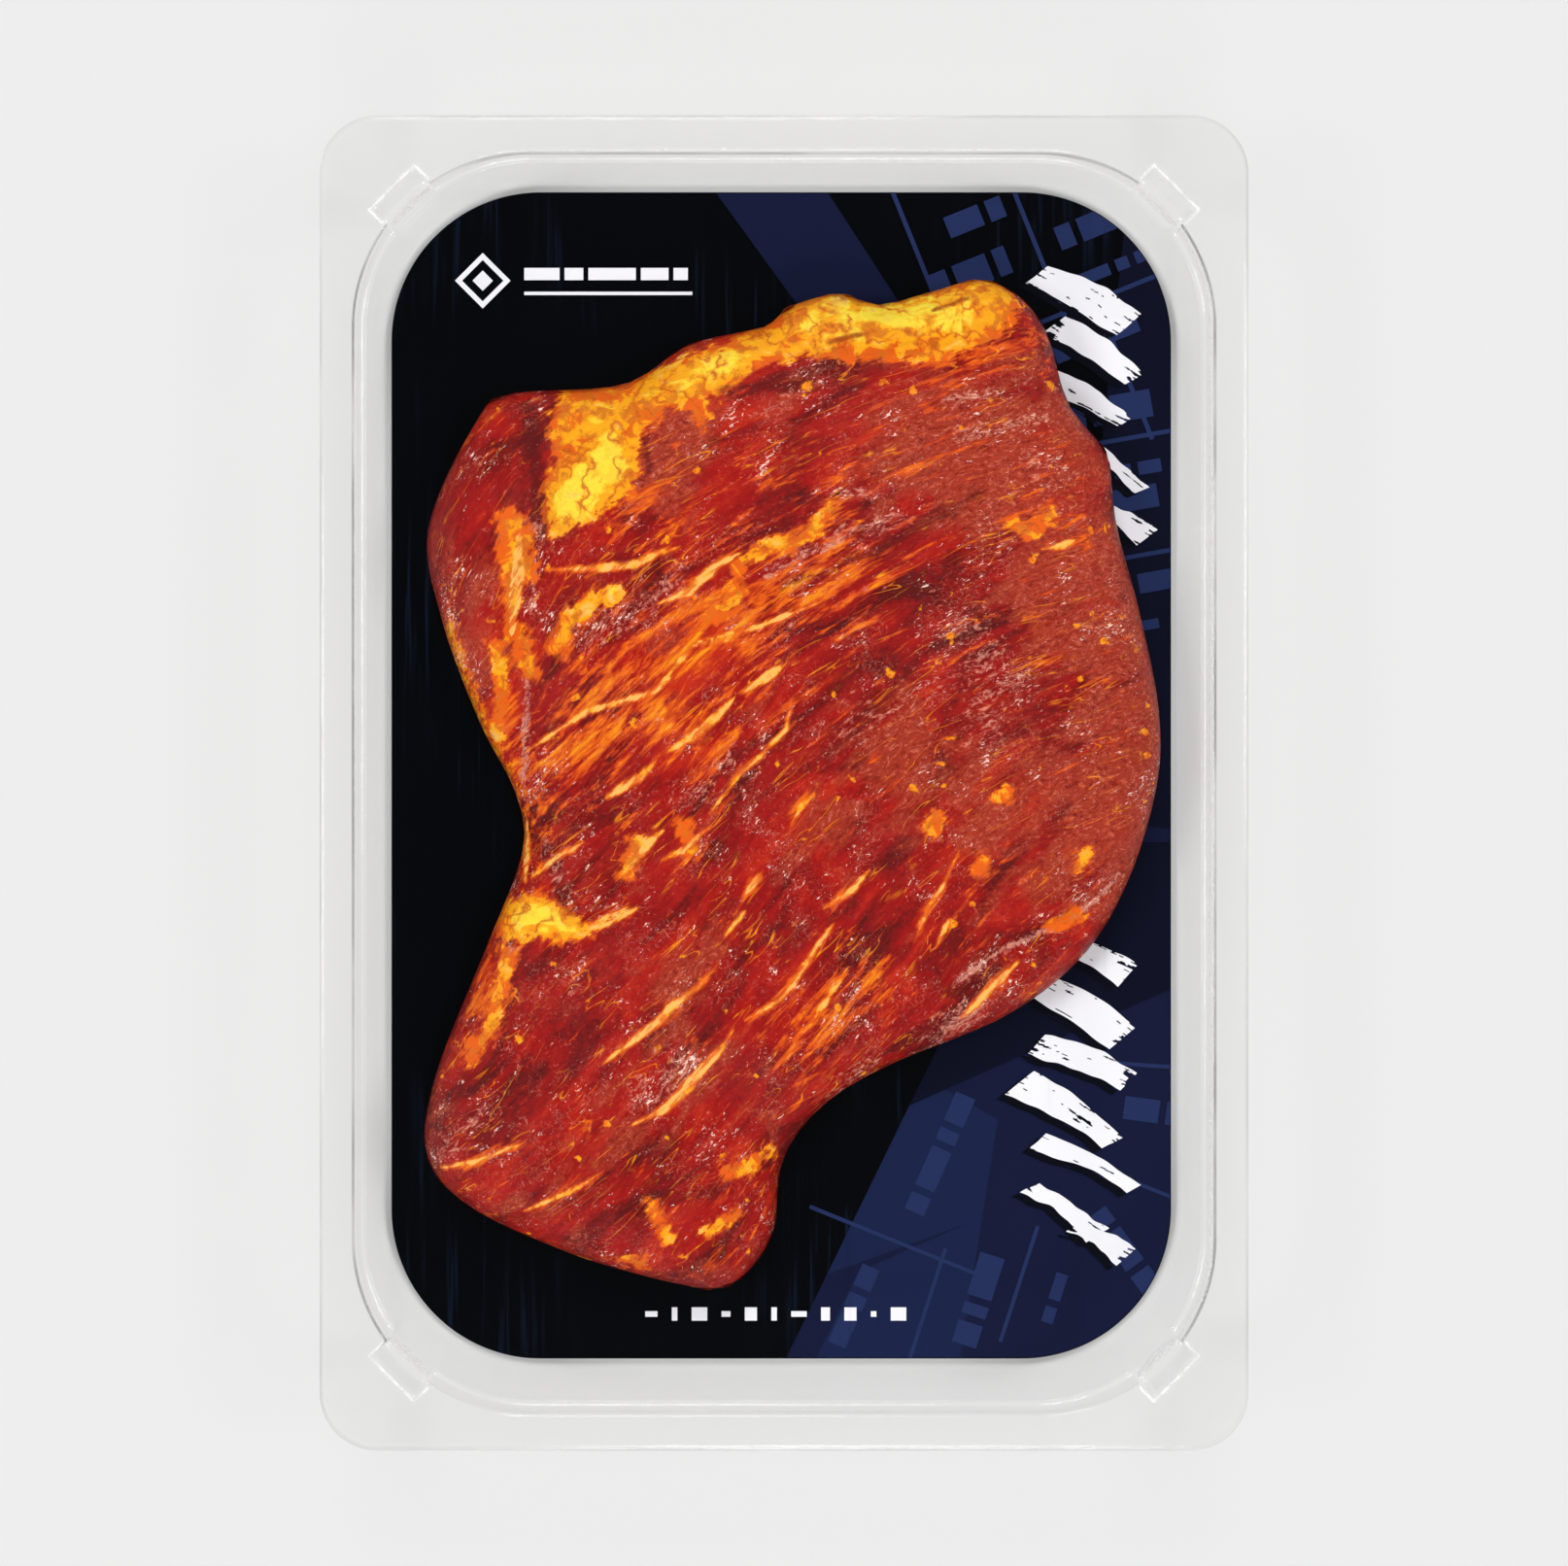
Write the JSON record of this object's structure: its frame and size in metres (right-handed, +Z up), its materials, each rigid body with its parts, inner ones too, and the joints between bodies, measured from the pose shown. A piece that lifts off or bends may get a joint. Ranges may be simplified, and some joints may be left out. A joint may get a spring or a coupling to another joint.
{
  "type": "meat tray pack",
  "caption": "Clear thermoformed tray pack of marinated meat: a boneless steak on a dark printed card, sealed under a clear film on the tray's rolled flange.",
  "frame": {"origin": "on the surface that the tray stands on, under the middle of the tray", "axes": "+X to the right across the pack, +Y along the pack to its top edge, +Z up"},
  "size_m": [0.16, 0.23, 0.0265],
  "materials": {
    "clear_tray": "clear thermoformed plastic, glossy, with fine light and dark lines along its folds",
    "printed_card": "near-black navy printed board with satin varnish, navy fields, fine blue rules and white marks",
    "marinated_meat": "wet marinated pork: deep red lean, orange oil in the grain, yellow-orange fat, small sharp highlights",
    "clear_film": "thin clear lidding film, stretched flat, glossy"
  },
  "bodies": {
    "root": {"tray": "clear_tray", "card": "printed_card", "steak": "marinated_meat", "lid_film": "clear_film"}
  },
  "joints": []
}
